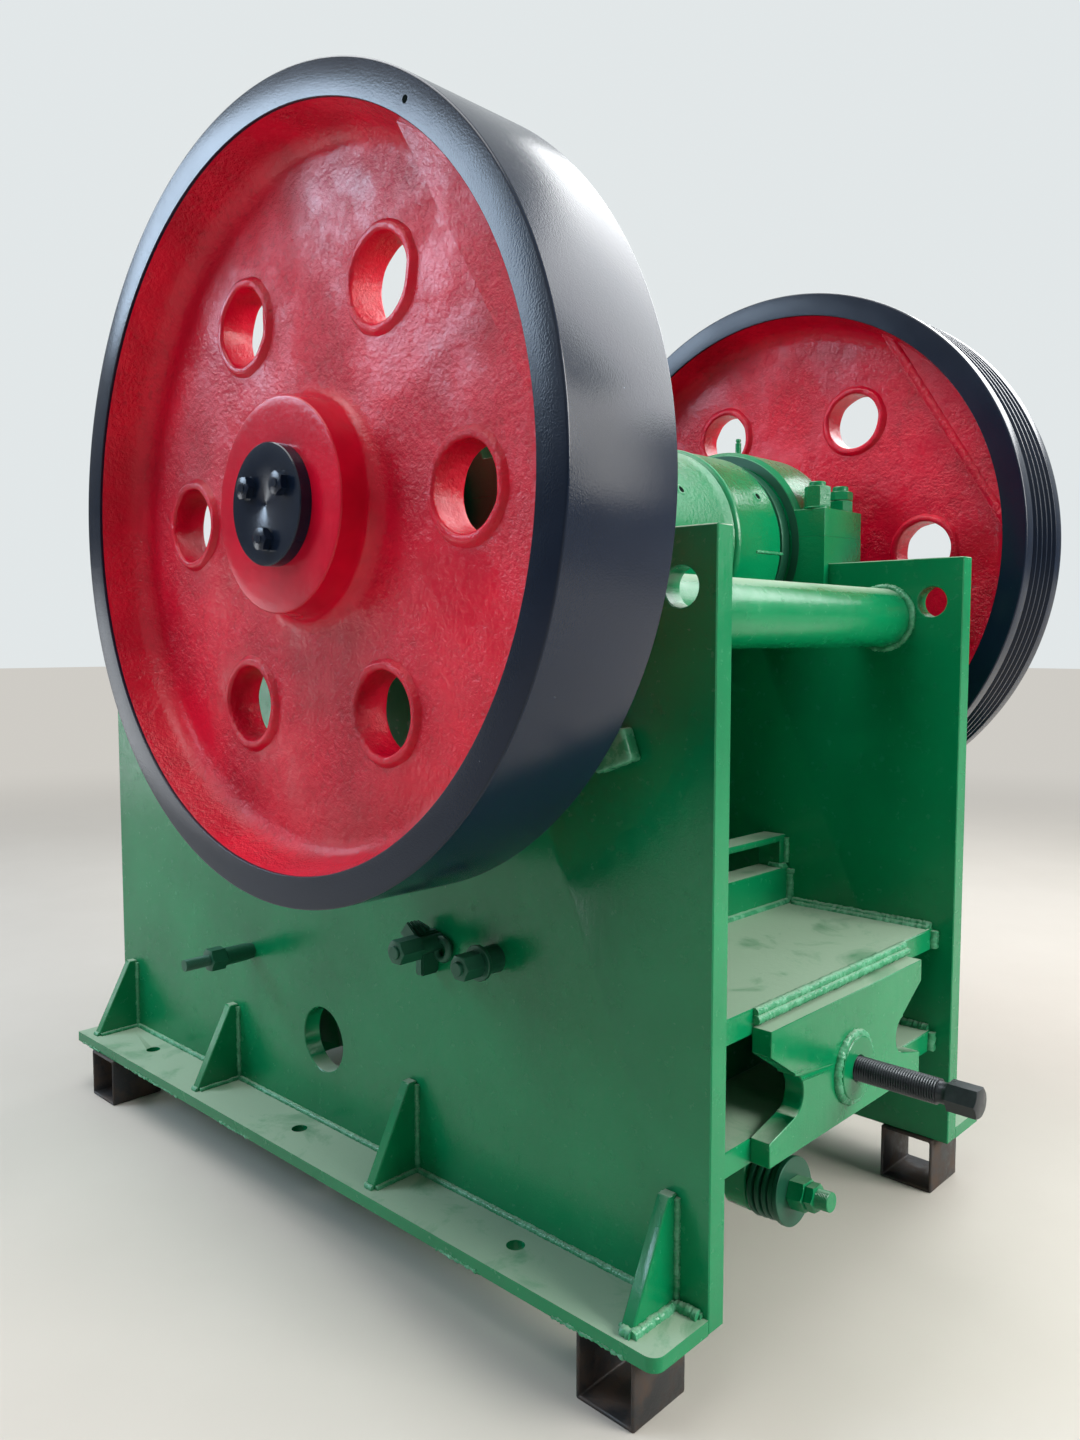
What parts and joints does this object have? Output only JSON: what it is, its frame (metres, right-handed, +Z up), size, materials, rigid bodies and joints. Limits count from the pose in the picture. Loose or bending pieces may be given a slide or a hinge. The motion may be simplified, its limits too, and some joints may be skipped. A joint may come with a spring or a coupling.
{
  "type": "jaw crusher",
  "caption": "Single-toggle jaw crusher with welded frame, flywheel and grooved belt sheave on an eccentric shaft, moving jaw, toggle beam with adjusting screw and sprung tension rod.",
  "frame": {"origin": "on the floor, under the middle of the machine's length and midway between the wheels", "axes": "+X to the toggle end with the adjusting screw, +Y along the shaft to the belt sheave, +Z up"},
  "size_m": [1.8612, 1.474, 1.751],
  "materials": {
    "green_paint": "gloss green paint on welded plate",
    "green_casting": "gloss green paint on cast steel",
    "red_casting": "gloss red paint on rough cast webs and hubs",
    "blue_black_paint": "satin blue-black paint",
    "black_steel": "black oxide thread",
    "bright_steel": "machined and oiled",
    "manganese_steel": "bare cast manganese steel",
    "bare_tube": "dark rusty bare tube"
  },
  "bodies": {
    "frame": {"side_plate_near": "green_paint", "side_plate_far": "green_paint", "base_flange_near": "green_paint", "base_flange_far": "green_paint", "gussets": "green_paint", "foot_front_near": "bare_tube", "foot_front_far": "bare_tube", "foot_rear_near": "bare_tube", "foot_rear_far": "bare_tube", "front_wall": "green_paint", "front_ribs": "green_paint", "front_stiffeners": "green_paint", "jaw_ledge": "green_paint", "fixed_jaw_plate": "manganese_steel", "cheek_plates": "manganese_steel", "tie_pipe": "green_paint", "beam_top_plate": "green_paint", "beam_bottom_plate": "green_paint", "beam_bar": "green_paint", "beam_bridge": "green_paint", "rear_screw_plate": "green_paint", "screw_boss": "green_paint", "toggle_block": "green_paint", "toggle_plate": "bright_steel", "rod_guide_lug": "green_paint", "plate_lug": "green_paint", "bearing_housings": "green_casting", "bearing_caps": "green_casting"},
    "rotor": {"eccentric_shaft": "bright_steel", "flywheel_hub": "red_casting", "flywheel_web": "red_casting", "flywheel_rim": "blue_black_paint", "belt_sheave_hub": "red_casting", "belt_sheave_web": "red_casting", "belt_sheave_rim": "blue_black_paint", "shaft_caps": "blue_black_paint"},
    "pitman": {"pitman": "green_casting", "pitman_ribs": "green_casting", "pitman_bars": "green_casting", "pitman_toe": "green_casting", "moving_jaw_plate": "manganese_steel", "jaw_wedge": "manganese_steel", "tension_rod": "green_paint", "spring_discs": "green_paint"},
    "screw": {"adjusting_screw": "black_steel"}
  },
  "joints": [
    {"name": "shaft_spin", "type": "hinge", "parent": "frame", "child": "rotor", "pos_m": [0.22735, 0, 1.201], "axis": [0, 1, 0], "continuous": true},
    {"name": "pitman_swing", "type": "hinge", "parent": "rotor", "child": "pitman", "pos_m": [0.21887, 0, 1.1957], "axis": [0, 1, 0], "continuous": true},
    {"name": "screw_travel", "type": "slide", "parent": "frame", "child": "screw", "axis": [1, 0, 0], "range_m": [0, 0.06]}
  ],
  "couplings": [
    {"joint": "pitman_swing", "follows": "shaft_spin", "ratio": -1}
  ]
}
